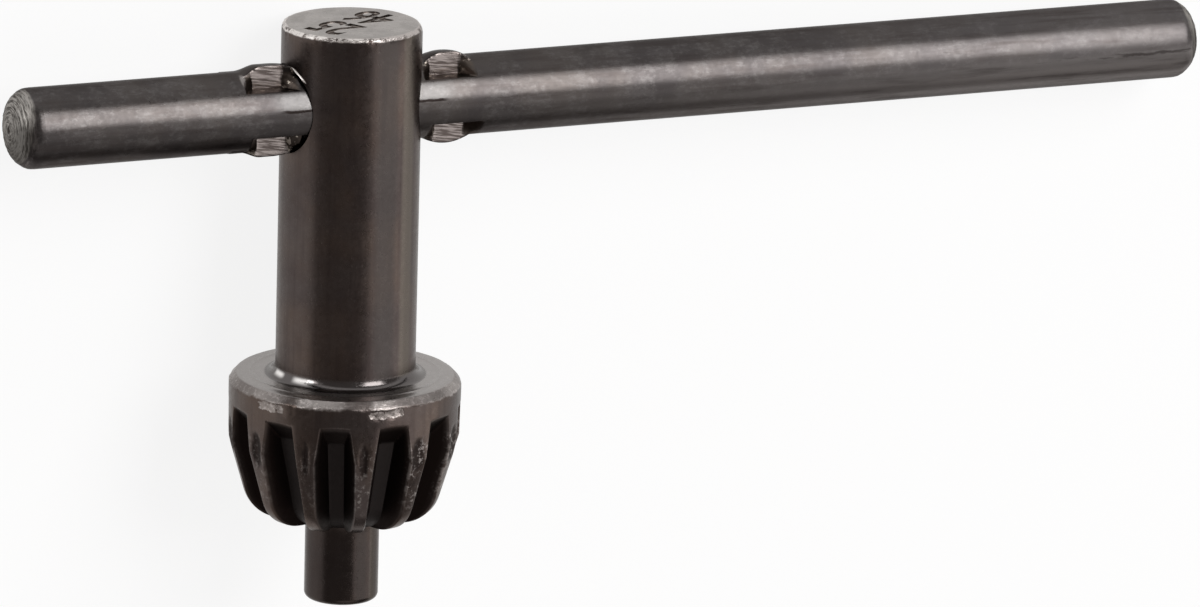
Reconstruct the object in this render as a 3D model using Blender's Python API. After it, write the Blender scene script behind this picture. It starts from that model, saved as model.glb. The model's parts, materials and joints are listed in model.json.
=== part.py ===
"""A drill chuck key: a turned and milled key body, and a bar staked across its shank.

Sizes are in metres. The key is built upright. Its origin is where the middle of the bar crosses the
middle of the shank, with the shank along Z, the bar along X and the pinion at the lower end. Its
pieces hang on an empty, which lays the finished key on its back on the ground plane.
"""

from math import asin, atan2, cos, pi, radians, sin, sqrt, tan

import bmesh
import bpy
from mathutils import Matrix, Vector

MM = 0.001

# Shank: heights are counted from the middle of the bar
SHANK_RADIUS = 6.0 * MM
SHANK_ABOVE_BAR = 7.0 * MM
SHANK_BELOW_BAR = 23.7 * MM
TOP_EDGE_BREAK = 0.25 * MM
NECK_FILLET = 0.9 * MM

# Collar, and the pinion below it: a cylinder, a cone and rounded tooth ends
COLLAR_RADIUS = 9.95 * MM
COLLAR_CHAMFER_WIDTH = 0.6 * MM
COLLAR_CHAMFER_HEIGHT = 0.7 * MM
CYLINDER_LENGTH = 5.55 * MM
HEAD_LENGTH = 12.65 * MM
CONE_HALF_ANGLE = radians(16.3)

# Gashes: the spaces milled between the teeth, with a flat floor parallel to the cone
TOOTH_COUNT = 12
TEETH_TURN = radians(3.2)
GASH_BELOW_COLLAR = 2.3 * MM
GASH_WALL_LEAN = radians(33.0)
GASH_END_WALL_LEAN = radians(40.0)
GASH_RUN_OUT = 0.15 * MM

# Shares of the collar's radius that the teeth take, so that another pinion keeps their form
TOOTH_END_ROUNDING_SHARE = 0.352
GASH_DEPTH_SHARE = 0.186
GASH_FLOOR_WIDTH_SHARE = 0.146
GASH_FLOOR_WIDTH_LOW_SHARE = 0.116
GASH_END_ROUNDING_SHARE = 0.342

# Pilot: the plain pin that centres the key in the chuck
PILOT_RADIUS = 3.18 * MM
PILOT_LENGTH = 7.35 * MM
PILOT_END_ROUNDING = 0.55 * MM

# Cross bar
BAR_RADIUS = 3.45 * MM
BAR_LONG_END = 79.4 * MM
BAR_SHORT_END = 31.0 * MM
BAR_END_BEVEL = 1.05 * MM
BAR_END_DOME = 0.35 * MM
HOLE_CLEARANCE = 0.27 * MM
HOLE_EDGE_BREAK = 0.5 * MM

# Ears: where the bar is pinched beside the shank, flats sunk in it and metal raised above and below
EAR_RISE = 0.55 * MM
EAR_LENGTH = 4.3 * MM
EAR_THICKNESS = 2.8 * MM
EAR_CROWN = 0.3 * MM
EAR_TO_SHANK = 0.25 * MM
FLAT_LENGTH = 2.65 * MM
FLAT_THICKNESS = 2.0 * MM
FLAT_TO_SHANK = 0.8 * MM
FLAT_LEDGE_HEIGHT = 2.05 * MM
FLAT_END_LEAN = radians(40.0)
LOWER_FLAT_SHIFT = 0.55 * MM

# How finely round forms are divided, and how far a cutter reaches past what it cuts
BODY_STEPS = 96
BAR_STEPS = 48
ARC_STEPS = 5
CUTTER_REACH = 0.4 * MM

COLLAR_TOP = -SHANK_BELOW_BAR
CONE_TOP = COLLAR_TOP - CYLINDER_LENGTH
LOWER_FACE = COLLAR_TOP - HEAD_LENGTH
PILOT_END = LOWER_FACE - PILOT_LENGTH
TOOTH_END_ROUNDING = COLLAR_RADIUS * TOOTH_END_ROUNDING_SHARE
GASH_DEPTH = COLLAR_RADIUS * GASH_DEPTH_SHARE
GASH_FLOOR_WIDTH = COLLAR_RADIUS * GASH_FLOOR_WIDTH_SHARE
GASH_FLOOR_WIDTH_LOW = COLLAR_RADIUS * GASH_FLOOR_WIDTH_LOW_SHARE
GASH_END_ROUNDING = COLLAR_RADIUS * GASH_END_ROUNDING_SHARE
HOLE_RADIUS = BAR_RADIUS + HOLE_CLEARANCE
EAR_RADIUS = BAR_RADIUS + EAR_RISE


def clear_scene():
    for thing in list(bpy.data.objects):
        bpy.data.objects.remove(thing, do_unlink=True)


def steel(name, colour, roughness):
    """A metal finish with one colour and one roughness."""
    material = bpy.data.materials.new(name)
    material.use_nodes = True
    surface = material.node_tree.nodes["Principled BSDF"]
    surface.inputs["Base Color"].default_value = (*colour, 1.0)
    surface.inputs["Roughness"].default_value = roughness
    surface.inputs["Metallic"].default_value = 1.0
    return material


def arc(centre, radius, start, end, steps=ARC_STEPS):
    """Points along an arc in the (radius, height) plane; angles run from the outward direction."""
    angles = [start + (end - start) * step / steps for step in range(steps + 1)]
    return [(centre[0] + radius * cos(angle), centre[1] + radius * sin(angle)) for angle in angles]


def object_from(name, shape, parent):
    """Close a bmesh into an object that hangs on the parent, shaded smooth between its edges."""
    bmesh.ops.recalc_face_normals(shape, faces=shape.faces)
    mesh = bpy.data.meshes.new(name)
    shape.to_mesh(mesh)
    shape.free()
    mesh.shade_smooth()
    mesh.set_sharp_from_angle(angle=radians(30.0))
    thing = bpy.data.objects.new(name, mesh)
    bpy.context.collection.objects.link(thing)
    thing.parent = parent
    return thing


def turned(outline, steps):
    """Turn an outline of (radius, height) points about Z, and cap both of its flat ends."""
    shape = bmesh.new()
    points = [shape.verts.new((radius, 0.0, height)) for radius, height in outline]
    edges = [shape.edges.new(pair) for pair in zip(points, points[1:])]
    bmesh.ops.spin(
        shape, geom=points + edges, axis=(0, 0, 1), cent=(0, 0, 0), angle=2 * pi, steps=steps, use_merge=True
    )
    rims = [edge for edge in shape.edges if edge.is_boundary]
    bmesh.ops.holes_fill(shape, edges=rims, sides=0)
    return shape


def prism(outline, low, high):
    """Stretch a flat outline of (x, y) points from one height to another."""
    shape = bmesh.new()
    base = shape.faces.new([shape.verts.new((x, y, low)) for x, y in outline])
    raised = bmesh.ops.extrude_face_region(shape, geom=[base])["geom"]
    corners = [item for item in raised if isinstance(item, bmesh.types.BMVert)]
    bmesh.ops.translate(shape, verts=corners, vec=(0, 0, high - low))
    return shape


def combine(target, other, operation):
    """Cut another object out of the target, or join it on, and hide what it was done with."""
    other.hide_render = True
    other.display_type = "WIRE"
    step = target.modifiers.new(other.name, "BOOLEAN")
    step.operation = operation
    step.solver = "EXACT"
    step.object = other


def tangent_centre(depth, radius, low):
    """Centre of an arc that joins the cone, moved inward by a depth, to a level line."""
    height = low + radius
    drop = (height - CONE_TOP) * sin(CONE_HALF_ANGLE)
    return COLLAR_RADIUS + (drop - depth - radius) / cos(CONE_HALF_ANGLE), height


def body_outline():
    """The turned body, from its top face down its outer side to the end of the pilot."""
    neck = (SHANK_RADIUS + NECK_FILLET, COLLAR_TOP + NECK_FILLET)
    tooth_end = tangent_centre(0.0, TOOTH_END_ROUNDING, LOWER_FACE)
    pilot_edge = (PILOT_RADIUS - PILOT_END_ROUNDING, PILOT_END + PILOT_END_ROUNDING)
    outline = [
        (SHANK_RADIUS - TOP_EDGE_BREAK, SHANK_ABOVE_BAR),
        (SHANK_RADIUS, SHANK_ABOVE_BAR - TOP_EDGE_BREAK),
    ]
    outline += arc(neck, NECK_FILLET, radians(180), radians(270))
    outline += [
        (COLLAR_RADIUS - COLLAR_CHAMFER_WIDTH, COLLAR_TOP),
        (COLLAR_RADIUS, COLLAR_TOP - COLLAR_CHAMFER_HEIGHT),
        (COLLAR_RADIUS, CONE_TOP),
    ]
    outline += arc(tooth_end, TOOTH_END_ROUNDING, -CONE_HALF_ANGLE, radians(-90))
    outline += [(PILOT_RADIUS, LOWER_FACE)]
    outline += arc(pilot_edge, PILOT_END_ROUNDING, 0.0, radians(-90), steps=3)
    return outline


def gash_path():
    """The middle of a gash's floor from its upper end down: a point and the way out of the metal.

    The floor starts at the foot of the leaning end wall, runs parallel to the cone and then curves
    in until it leaves the lower face.
    """
    outward = Vector((cos(CONE_HALF_ANGLE), -sin(CONE_HALF_ANGLE)))
    up_wall = Vector((sin(GASH_END_WALL_LEAN), cos(GASH_END_WALL_LEAN)))
    brink = Vector((COLLAR_RADIUS, COLLAR_TOP - GASH_BELOW_COLLAR))
    over_cone = (brink - Vector((COLLAR_RADIUS, CONE_TOP))).dot(outward)
    foot = brink - up_wall * (over_cone + GASH_DEPTH) / up_wall.dot(outward)

    centre = tangent_centre(GASH_DEPTH, GASH_END_ROUNDING, LOWER_FACE - GASH_RUN_OUT)
    leaves = asin((GASH_END_ROUNDING - GASH_RUN_OUT / 2) / GASH_END_ROUNDING)
    curve = arc(centre, GASH_END_ROUNDING, -CONE_HALF_ANGLE, -leaves)
    path = [(foot, up_wall / up_wall.dot(outward))]
    path += [(Vector(point), (Vector(point) - Vector(centre)).normalized()) for point in curve]
    return path


def gash_wedge(turn):
    """The metal that one gash takes away: a wedge that widens outward, at an angle round the shank."""
    path = gash_path()
    height = GASH_DEPTH + CUTTER_REACH
    top = path[0][0].y
    bottom = path[-1][0].y
    shape = bmesh.new()
    sections = []
    for floor, out in path:
        narrowing = (top - floor.y) / (top - bottom)
        half_floor = (GASH_FLOOR_WIDTH + (GASH_FLOOR_WIDTH_LOW - GASH_FLOOR_WIDTH) * narrowing) / 2
        half_mouth = half_floor + height * tan(GASH_WALL_LEAN)
        mouth = floor + out * height
        corners = [(floor, -half_floor), (floor, half_floor), (mouth, half_mouth), (mouth, -half_mouth)]
        sections.append([shape.verts.new((point.x, across, point.y)) for point, across in corners])
    for upper, lower in zip(sections, sections[1:]):
        for side in range(4):
            after = (side + 1) % 4
            shape.faces.new((upper[side], upper[after], lower[after], lower[side]))
    shape.faces.new(sections[0])
    shape.faces.new(sections[-1])
    bmesh.ops.triangulate(shape, faces=shape.faces)
    bmesh.ops.rotate(shape, verts=shape.verts, cent=(0, 0, 0), matrix=Matrix.Rotation(turn, 3, "Z"))
    return shape


def hole_outline():
    """The cross hole with its broken edges, turned about its own axis and longer than the shank."""
    mouth = SHANK_RADIUS - HOLE_EDGE_BREAK
    beyond = 2 * HOLE_EDGE_BREAK + CUTTER_REACH
    wide = HOLE_RADIUS + beyond
    return [
        (wide, mouth + beyond),
        (HOLE_RADIUS, mouth),
        (HOLE_RADIUS, -mouth),
        (wide, -mouth - beyond),
    ]


def along_bar(shape):
    """Lay a shape that was turned about Z along the bar, its upper end towards the long end."""
    bmesh.ops.rotate(shape, verts=shape.verts, cent=(0, 0, 0), matrix=Matrix.Rotation(pi / 2, 3, "Y"))
    return shape


def key_body(parent):
    """The shank, collar, pinion and pilot, turned and milled from one piece."""
    body = object_from("key_body", turned(body_outline(), BODY_STEPS), parent)
    hole = object_from("cross_hole", along_bar(turned(hole_outline(), BAR_STEPS)), parent)
    combine(body, hole, "DIFFERENCE")
    for number in range(TOOTH_COUNT):
        turn = TEETH_TURN - pi / 2 + number * 2 * pi / TOOTH_COUNT
        gash = object_from(f"gash_{number + 1:02d}", gash_wedge(turn), parent)
        combine(body, gash, "DIFFERENCE")
    body.data.materials.append(steel("blackened_steel", (0.075, 0.068, 0.063), 0.38))


def bar_outline():
    """The bar with its bevelled, slightly domed ends, from the long end to the short one."""
    bevelled = BAR_RADIUS - BAR_END_BEVEL
    dome_radius = (bevelled ** 2 + BAR_END_DOME ** 2) / (2 * BAR_END_DOME)
    spread = asin(bevelled / dome_radius)
    crown = arc((0.0, -dome_radius), dome_radius, pi / 2 - spread / 4, pi / 2 - spread, steps=3)
    end = crown + [(BAR_RADIUS, -BAR_END_DOME - BAR_END_BEVEL)]
    long_end = [(radius, BAR_LONG_END + depth) for radius, depth in end]
    short_end = [(radius, -BAR_SHORT_END - depth) for radius, depth in reversed(end)]
    return long_end + short_end


def ear_slab(side):
    """An oval slab across the bar, whose crowned rim stands out above and below as two ears."""
    middle = side * (SHANK_RADIUS + EAR_TO_SHANK + EAR_LENGTH / 2)
    half = EAR_THICKNESS / 2
    crown_radius = (half ** 2 + EAR_CROWN ** 2) / (2 * EAR_CROWN)
    spread = asin(half / crown_radius)
    shape = turned(arc((EAR_RADIUS - crown_radius, 0.0), crown_radius, spread, -spread), BAR_STEPS)
    bmesh.ops.rotate(shape, verts=shape.verts, cent=(0, 0, 0), matrix=Matrix.Rotation(pi / 2, 3, "X"))
    half_chord = sqrt(EAR_RADIUS ** 2 - BAR_RADIUS ** 2)
    stretch = EAR_LENGTH / 2 / half_chord
    bmesh.ops.scale(shape, verts=shape.verts, vec=(stretch, 1, 1))
    bmesh.ops.translate(shape, verts=shape.verts, vec=(middle, 0, 0))
    return shape


def pinch(side, face, level):
    """What one nose of the die pushed in: a flat with leaning ends, on one face and one level.

    The lower flats lie a little to one side of the upper ones, as the dies met the bar askew.
    """
    middle = side * (SHANK_RADIUS + FLAT_TO_SHANK + FLAT_LENGTH / 2)
    if level < 0:
        middle += LOWER_FLAT_SHIFT
    flat = FLAT_THICKNESS / 2
    beyond = BAR_RADIUS + CUTTER_REACH
    half = FLAT_LENGTH / 2
    spread = half + (beyond - flat) * tan(FLAT_END_LEAN)
    outline = [
        (middle - half, face * flat),
        (middle + half, face * flat),
        (middle + spread, face * beyond),
        (middle - spread, face * beyond),
    ]
    return prism(outline, level * FLAT_LEDGE_HEIGHT, level * (EAR_RADIUS + CUTTER_REACH))


def cross_bar(parent):
    """The bar, with two pairs of ears and the flats between which they were pinched."""
    bar = object_from("cross_bar", along_bar(turned(bar_outline(), BAR_STEPS)), parent)
    for side, side_name in ((1, "long"), (-1, "short")):
        combine(bar, object_from(f"ear_{side_name}", ear_slab(side), parent), "UNION")
        for face, face_name in ((-1, "front"), (1, "back")):
            for level, level_name in ((1, "upper"), (-1, "lower")):
                name = f"pinch_{side_name}_{face_name}_{level_name}"
                combine(bar, object_from(name, pinch(side, face, level), parent), "DIFFERENCE")
    bar.data.materials.append(steel("worn_steel", (0.13, 0.12, 0.115), 0.42))


def lying_turn():
    """The turn that lays the upright key on its back, on three points that it rests on.

    They are the lower edge of the collar's chamfer, the edge of the shank's top face and the end of
    the bar's long arm. The shank leans by the difference between the first two radii, and the key
    rolls about it until the arm meets the ground.
    """
    rim = COLLAR_TOP - COLLAR_CHAMFER_HEIGHT
    edge = SHANK_ABOVE_BAR - TOP_EDGE_BREAK
    arm = BAR_LONG_END - BAR_END_DOME - BAR_END_BEVEL
    lean = atan2(COLLAR_RADIUS - SHANK_RADIUS, edge - rim)
    reach = SHANK_RADIUS * cos(lean) + edge * sin(lean)
    dip = 0.0
    for _ in range(10):
        dip = (reach - BAR_RADIUS * sqrt(1 - dip ** 2)) / arm
    down = Vector((dip, sqrt(cos(lean) ** 2 - dip ** 2), sin(lean)))
    up = -down
    along = (Vector((1, 0, 0)) - down * down.x).normalized()
    return Matrix((along, up.cross(along), up))


def seat(stand, pieces):
    """Put the origin under the middle of the lying key, at the level of the ground."""
    bpy.context.view_layer.update()
    graph = bpy.context.evaluated_depsgraph_get()
    corners = []
    for piece in pieces:
        finished = piece.evaluated_get(graph)
        corners += [finished.matrix_world @ vertex.co for vertex in finished.data.vertices]
    low = Vector([min(corner[axis] for corner in corners) for axis in range(3)])
    high = Vector([max(corner[axis] for corner in corners) for axis in range(3)])
    stand.location = Vector((-(low.x + high.x) / 2, -(low.y + high.y) / 2, -low.z))


def main():
    clear_scene()
    stand = bpy.data.objects.new("lying_key", None)
    bpy.context.collection.objects.link(stand)
    stand.rotation_euler = lying_turn().to_euler()
    key_body(stand)
    cross_bar(stand)
    seat(stand, [bpy.data.objects["key_body"], bpy.data.objects["cross_bar"]])


main()
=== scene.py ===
# %% [markdown]
# # A drill chuck key
#
# A chuck key is the small T-shaped tool that opens and closes the jaws of a drill chuck. Its pilot goes
# into a hole in the chuck's side, its pinion meshes with the chuck's gear ring, and the bar across its
# shank is the handle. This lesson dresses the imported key: it builds both steel pieces again with finer
# edges, gives them their blackened and worn finishes, and lights them on a pale floor.
#
# The key lies on its back, on the rim of its collar, the edge of its top face and the end of its bar.

import json
from math import asin, atan, atan2, cos, degrees, pi, radians, sin, sqrt, tan

import bmesh
import bpy
from mathutils import Euler, Matrix, Vector, noise

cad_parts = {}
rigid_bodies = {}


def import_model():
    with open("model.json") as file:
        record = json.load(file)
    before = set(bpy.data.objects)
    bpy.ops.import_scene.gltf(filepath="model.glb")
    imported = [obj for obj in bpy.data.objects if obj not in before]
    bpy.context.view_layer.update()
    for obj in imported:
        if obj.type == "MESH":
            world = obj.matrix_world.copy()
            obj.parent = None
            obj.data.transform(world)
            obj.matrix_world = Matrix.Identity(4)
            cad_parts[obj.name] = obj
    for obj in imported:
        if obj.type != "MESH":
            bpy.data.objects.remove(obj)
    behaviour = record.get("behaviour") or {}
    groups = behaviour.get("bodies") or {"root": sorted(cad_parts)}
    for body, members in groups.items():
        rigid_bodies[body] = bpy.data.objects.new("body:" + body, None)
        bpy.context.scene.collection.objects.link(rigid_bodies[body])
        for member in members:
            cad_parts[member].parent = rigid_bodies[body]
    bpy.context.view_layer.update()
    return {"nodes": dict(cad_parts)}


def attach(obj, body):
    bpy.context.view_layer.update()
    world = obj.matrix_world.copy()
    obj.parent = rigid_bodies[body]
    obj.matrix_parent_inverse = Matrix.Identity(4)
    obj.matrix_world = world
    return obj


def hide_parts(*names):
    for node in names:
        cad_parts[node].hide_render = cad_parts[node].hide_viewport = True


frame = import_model()
print("nodes:", sorted(frame["nodes"]))

# %% [markdown]
# ## The key's own frame
#
# The key is easier to think of standing upright, with the shank along Z, the bar along X and the middle
# of the bar at zero. Every piece is built that way in millimetres, and one matrix then lays it down where
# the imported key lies. The same place and turn go into a Mapping node later, so that the finishes know
# heights and radii of the upright key too.

# %% The matrix that lays the key down
KEY_PLACE = Vector((-0.02417761, 0.01800752, 0.00680144))
KEY_TURN = Euler((-1.6970464, 0.04302181, 0.0))
MILLIMETRE = 0.001
lay_down = Matrix.LocRotScale(KEY_PLACE, KEY_TURN, Vector((MILLIMETRE, MILLIMETRE, MILLIMETRE)))
print("top of the shank lies at", tuple(round(value, 4) for value in lay_down @ Vector((0, 0, 7))))

# %% [markdown]
# ## The camera
#
# The key was photographed with a long lens from a little above and from its left, so its round forms
# look almost as in a drawing. Place, turn and lens were solved from the outlines of the shank, the bar
# and the collar. Because the key lies down here, the same view looks down on it.

# %% The camera
camera = bpy.data.objects.new("camera", bpy.data.cameras.new("camera"))
bpy.context.collection.objects.link(camera)
camera.location = (-0.328011, 0.341917, 0.807082)
camera.rotation_euler = (-0.407899, -0.358047, 0.080416)
camera.data.sensor_width = 36.0
camera.data.lens = 323.151
camera.data.clip_start = 0.05
bpy.context.scene.camera = camera
bpy.context.scene.view_settings.view_transform = "Standard"
print("camera stands", round(camera.location.length, 3), "m away")

# %% [markdown]
# ## Turning on the lathe
#
# Both pieces start as turned steel, so both start as an outline that a spin carries round an axis. Each
# vertex remembers which row of the outline it came from. That lets the later steps, which mill the teeth
# and pinch the bar, move whole rows and columns of vertices and keep the mesh even.

# %% A helper that turns an outline
def arc(centre, radius, start, end, steps):
    """Points along an arc in the (radius, height) plane, with both of its ends."""
    angles = [start + (end - start) * step / steps for step in range(steps + 1)]
    return [(centre[0] + radius * cos(angle), centre[1] + radius * sin(angle)) for angle in angles]


def levels(first, last, steps):
    """Evenly spaced values after the first one, up to the last one."""
    return [first + (last - first) * step / steps for step in range(1, steps + 1)]


def turned(outline, steps):
    """Spin an outline of (radius, height) points about Z; its flat ends are closed with one face each."""
    shape = bmesh.new()
    row = shape.verts.layers.int.new("row")
    points = [shape.verts.new((radius, 0.0, height)) for radius, height in outline]
    for number, point in enumerate(points):
        point[row] = number
    edges = [shape.edges.new(pair) for pair in zip(points, points[1:])]
    bmesh.ops.spin(
        shape, geom=points + edges, axis=(0, 0, 1), cent=(0, 0, 0), angle=2 * pi, steps=steps, use_merge=True
    )
    rims = [edge for edge in shape.edges if edge.is_boundary]
    bmesh.ops.holes_fill(shape, edges=rims, sides=0)
    bmesh.ops.recalc_face_normals(shape, faces=shape.faces)
    return shape


def between(knots, value):
    """Read a line of (place, value) knots at a place, with straight stretches from knot to knot."""
    for (start, low), (end, high) in zip(knots, knots[1:]):
        if value <= end:
            return low + (high - low) * (value - start) / (end - start)
    return knots[-1][1]


def clamped(value, low=0.0, high=1.0):
    """A value held between two others."""
    return min(max(value, low), high)


def softest(rounding, *values):
    """The smallest of some values, with the corner where two of them meet rounded off."""
    least = values[0]
    for value in values[1:]:
        share = clamped(0.5 + (value - least) / (2 * rounding))
        least = value + (least - value) * share - rounding * share * (1 - share)
    return least


def last_inside(depth_at, far, steps):
    """Halve a way from zero until it ends where a depth that starts above zero reaches it."""
    near = 0.0
    for _ in range(steps):
        middle = (near + far) / 2
        if depth_at(middle) > 0.0:
            near = middle
        else:
            far = middle
    return near


# %% [markdown]
# ## The key body: its outline
#
# The real body is one turned piece: shank, a small neck fillet, the collar with a chamfered rim, a short
# cylinder, a cone, rounded tooth ends and the pilot. The outline has many rows where the teeth will be
# milled and few on the plain shank.

# %% Sizes of the body, in millimetres
SHANK_RADIUS = 6.0
SHANK_TOP = 7.0
COLLAR_RADIUS = 9.95
COLLAR_TOP = -23.7
CHAMFER_END = -24.44
CONE_TOP = COLLAR_TOP - 5.55
LOWER_FACE = COLLAR_TOP - 12.65
CONE_LEAN = radians(16.3)
TOOTH_END_ROUNDING = 3.5
NECK_FILLET = 0.9
PILOT_RADIUS = 3.18
PILOT_END = LOWER_FACE - 7.35
PILOT_FILLET = 0.15
PILOT_ROUNDING = 0.55

TOOTH_COUNT = 12
HALF_PITCH = pi / TOOTH_COUNT
TEETH_TURN = radians(3.2) - pi / 2
GASH_TOP = COLLAR_TOP - 2.3
GASH_DEPTH = 1.85
GASH_FLOOR = 1.45
GASH_FLOOR_LOW = 1.15
GASH_SIDE_LEAN = radians(33.0)
GASH_END_LEAN = radians(40.0)
GASH_END_ROUNDING = 3.4
GASH_RUN_OUT = 0.15
GASH_CREASE = 0.015
EDGE_WEAR = 0.09


def under_cone(depth, radius, low):
    """Centre of an arc that joins the cone, moved inward by a depth, to a level line."""
    height = low + radius
    drop = (height - CONE_TOP) * sin(CONE_LEAN)
    return Vector((COLLAR_RADIUS + (drop - depth - radius) / cos(CONE_LEAN), height))


tooth_end = under_cone(0.0, TOOTH_END_ROUNDING, LOWER_FACE)
gash_end = under_cone(GASH_DEPTH, GASH_END_ROUNDING, LOWER_FACE - GASH_RUN_OUT)
print("tooth ends turn about", tuple(round(value, 2) for value in tooth_end))

# %% The outline, from the top face down to the pilot's end
outline = [(5.3, SHANK_TOP), (5.72, SHANK_TOP), (5.86, 6.93), (5.95, 6.84), (SHANK_RADIUS, 6.7)]
# the rows are close together beside the hole
shank_rows = levels(6.7, 3.9, 6) + levels(3.9, -3.9, 22) + levels(-3.9, -22.8, 8)
outline += [(SHANK_RADIUS, height) for height in shank_rows]
neck_radius = SHANK_RADIUS + NECK_FILLET
outline += arc((neck_radius, COLLAR_TOP + NECK_FILLET), NECK_FILLET, pi, 1.5 * pi, 10)[1:]
outline += [(radius, COLLAR_TOP) for radius in levels(neck_radius, 8.05, 3)]
outline += [(8.1, COLLAR_TOP + 0.03), (8.16, COLLAR_TOP + 0.03), (8.22, COLLAR_TOP)]
outline += [(radius, COLLAR_TOP) for radius in levels(8.22, 9.25, 3)]
outline += [(9.35, -23.73), (9.43, -23.79)]
outline += [(9.43 + 0.46 * share, -23.79 - 0.5 * share) for share in levels(0.0, 1.0, 5)]
outline += [(9.93, -24.36), (COLLAR_RADIUS, CHAMFER_END)]
head_rows = levels(CHAMFER_END, -25.84, 6) + levels(-25.84, -26.2, 6) + levels(-26.2, -27.5, 8)
head_rows += levels(-27.5, -27.9, 4) + levels(-27.9, CONE_TOP, 6)
outline += [(COLLAR_RADIUS, height) for height in head_rows]
cone_end = tooth_end.y - TOOTH_END_ROUNDING * sin(CONE_LEAN)
cone_rows = levels(CONE_TOP, cone_end, 17)
outline += [(COLLAR_RADIUS - (CONE_TOP - height) * tan(CONE_LEAN), height) for height in cone_rows]
outline += arc(tooth_end, TOOTH_END_ROUNDING, -CONE_LEAN, -pi / 2, 18)[1:]
last_tooth_row = len(outline) - 1
outline += [(radius, LOWER_FACE) for radius in levels(tooth_end.x, PILOT_RADIUS + PILOT_FILLET, 5)]
outline += arc((PILOT_RADIUS + PILOT_FILLET, LOWER_FACE - PILOT_FILLET), -PILOT_FILLET, -pi / 2, 0.0, 3)[1:]
outline += [(PILOT_RADIUS, height) for height in levels(LOWER_FACE - PILOT_FILLET, PILOT_END + 0.6, 5)]
outline += arc((PILOT_RADIUS - PILOT_ROUNDING, PILOT_END + PILOT_ROUNDING), PILOT_ROUNDING, 0.0, -pi / 2, 7)
print("outline rows:", len(outline))

# %% [markdown]
# ## Milling the teeth
#
# A gash is the space between two teeth. Its sides lean outward, its floor runs parallel to the cone and
# curves in at the lower end, and its upper end is a leaning wall where the cutter came in. Here each
# vertex of the turned blank is pushed in towards the axis until it leaves that wedge. The columns of
# vertices are first slid sideways so that some of them run exactly along the mouth and the floor of the
# gash, which keeps the edges crisp and lets them be slightly rounded, as on the worn tool.

# %% How far a point of the blank is pushed in
def half_floor(height):
    """Half the width of a gash's floor, which narrows on its way down."""
    below = clamped((GASH_TOP - height) / (GASH_TOP - LOWER_FACE))
    return (GASH_FLOOR + (GASH_FLOOR_LOW - GASH_FLOOR) * below) / 2


def inside_gash(across, radius, height):
    """How deep a point is inside the gash whose middle is at zero across; less than zero is outside."""
    from_end = Vector((radius, height)) - gash_end
    from_blank = radius - COLLAR_RADIUS
    if atan2(from_end.y, from_end.x) > -CONE_LEAN:
        over_floor = from_blank * cos(CONE_LEAN) - (height - CONE_TOP) * sin(CONE_LEAN) + GASH_DEPTH
    else:
        over_floor = from_end.length - GASH_END_ROUNDING
    half_width = half_floor(height) + max(over_floor, 0.0) * tan(GASH_SIDE_LEAN)
    from_side = (half_width - abs(across)) * cos(GASH_SIDE_LEAN)
    from_end_wall = from_blank * cos(GASH_END_LEAN) - (height - GASH_TOP) * sin(GASH_END_LEAN)
    return softest(GASH_CREASE, over_floor, from_side, from_end_wall)


def foot_angle(height):
    """Angle from the middle of the gash to the crease at the foot of its side, and the floor's radius."""
    if height > gash_end.y - GASH_END_ROUNDING * sin(CONE_LEAN):
        radius = COLLAR_RADIUS + ((height - CONE_TOP) * sin(CONE_LEAN) - GASH_DEPTH) / cos(CONE_LEAN)
    else:
        radius = gash_end.x + sqrt(max(GASH_END_ROUNDING ** 2 - (height - gash_end.y) ** 2, 0.0))
    return atan(half_floor(height) / radius), radius


def push(angle, radius, height):
    """How deep a point is in the gash, and how far it moves towards the axis, with the edge rounded off."""
    def depth_at(inward):
        left = radius - inward
        return inside_gash(left * sin(angle), left * cos(angle), height)
    start = depth_at(0.0)
    way = last_inside(depth_at, 5.0, 24) if start > 0.0 else start / 0.6
    return way, (way + sqrt(way * way + EDGE_WEAR ** 2)) / 2


def mouth_angle(radius, height):
    """Angle from the middle of the gash to its edge on the blank."""
    def depth_at(angle):
        return inside_gash(radius * sin(angle), radius * cos(angle), height)
    return last_inside(depth_at, HALF_PITCH, 24)


# %% Mill all twelve gashes into the blank
HALF_COLUMNS = 16
body = turned(outline, 2 * HALF_COLUMNS * TOOTH_COUNT)
row_of = body.verts.layers.int["row"]
gash_layer = body.verts.layers.float.new("gash")
strip_layer = body.verts.layers.float.new("strip")
brink_layer = body.verts.layers.float.new("brink")
dent_layer = body.verts.layers.float.new("dent")
plans = {}
brink_level = GASH_TOP - 0.12
brink_mouth = mouth_angle(COLLAR_RADIUS, brink_level)
for row, (radius, height) in enumerate(outline):
    if height > GASH_TOP + 0.8 or height < LOWER_FACE - 0.001 or row > last_tooth_row + 4:
        continue
    mouth = max(mouth_angle(radius, height) if height < brink_level else brink_mouth, 0.06)
    foot = min(foot_angle(height)[0], 0.6 * mouth)
    edge = 0.12 / radius
    crease = min(0.05 / radius, 0.2 * foot)
    knots = [
        (0, 0.0), (3, foot - crease), (4, foot), (5, foot + crease),
        (9, mouth - edge), (12, mouth + edge), (HALF_COLUMNS, HALF_PITCH),
    ]
    plans[row] = [between(knots, column) for column in range(HALF_COLUMNS + 1)]
print("rows in the teeth:", len(plans), "mouth at the brink:", round(degrees(brink_mouth), 2), "degrees")

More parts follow.
